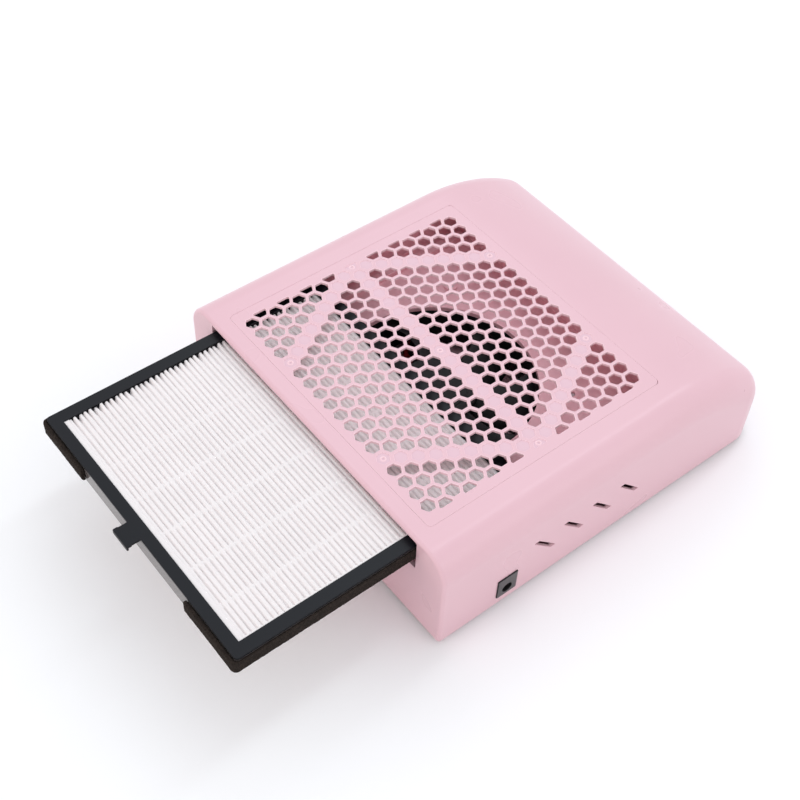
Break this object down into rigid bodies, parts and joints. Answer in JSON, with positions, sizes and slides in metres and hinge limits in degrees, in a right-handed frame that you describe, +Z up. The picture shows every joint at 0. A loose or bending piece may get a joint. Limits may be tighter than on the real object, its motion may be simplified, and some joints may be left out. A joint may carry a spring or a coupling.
{
  "type": "nail dust collector",
  "caption": "Pink table-top nail dust collector with a honeycomb grille in the top, a slide-out pleated filter cartridge and one fan inside.",
  "frame": {"origin": "middle of the footprint box on the table plane, with the filter cartridge standing out of its slot as modelled", "axes": "+Z up, -Y to the front where the filter cartridge slides out, +X to the side with the power socket"},
  "size_m": [0.2248, 0.3493, 0.068],
  "materials": {
    "pink_shell": "satin, injection moulded",
    "pink_inner": "satin, shaded inside",
    "black_plastic": "satin",
    "white_filter": "pleated non-woven",
    "dark_foam": "open-cell foam",
    "grey_gasket": "matte",
    "steel": "satin",
    "bright_steel": "polished",
    "magnet": "matte, sintered ferrite",
    "copper": "enamelled copper wire",
    "board": "solder mask",
    "gold_pin": "polished",
    "red_wire": "satin insulation",
    "black_wire": "satin insulation",
    "rubber_foot": "matte"
  },
  "bodies": {
    "housing": {"top_shell": "pink_shell", "grille_panel": "pink_shell", "base_plate": "pink_shell", "fan_deck": "pink_inner", "fan_gasket": "grey_gasket", "fan_housing": "black_plastic", "motor_bearings": "bright_steel", "stator_core": "steel", "stator_coils": "copper", "motor_board": "board", "dc_jack": "black_plastic", "dc_jack_pin": "gold_pin", "jack_contacts": "bright_steel", "wire_red": "red_wire", "wire_black": "black_wire", "fan_screws": "steel", "deck_screws": "steel", "base_screws": "steel", "rubber_feet": "rubber_foot"},
    "filter": {"filter_frame": "black_plastic", "filter_media": "white_filter", "foam_strip_right": "dark_foam", "foam_strip_left": "dark_foam", "foam_strip_rear": "dark_foam"},
    "rotor": {"fan_impeller": "black_plastic", "rotor_yoke": "steel", "rotor_magnet": "magnet", "motor_shaft": "bright_steel", "shaft_clip": "steel"}
  },
  "joints": [
    {"name": "filter_slide", "type": "slide", "parent": "housing", "child": "filter", "axis": [0, -1, 0], "range_m": [-0.1035, 0.065]},
    {"name": "fan_spin", "type": "hinge", "parent": "housing", "child": "rotor", "pos_m": [-0.0004, 0.02455, 0.026], "axis": [0, 0, 1], "continuous": true}
  ]
}
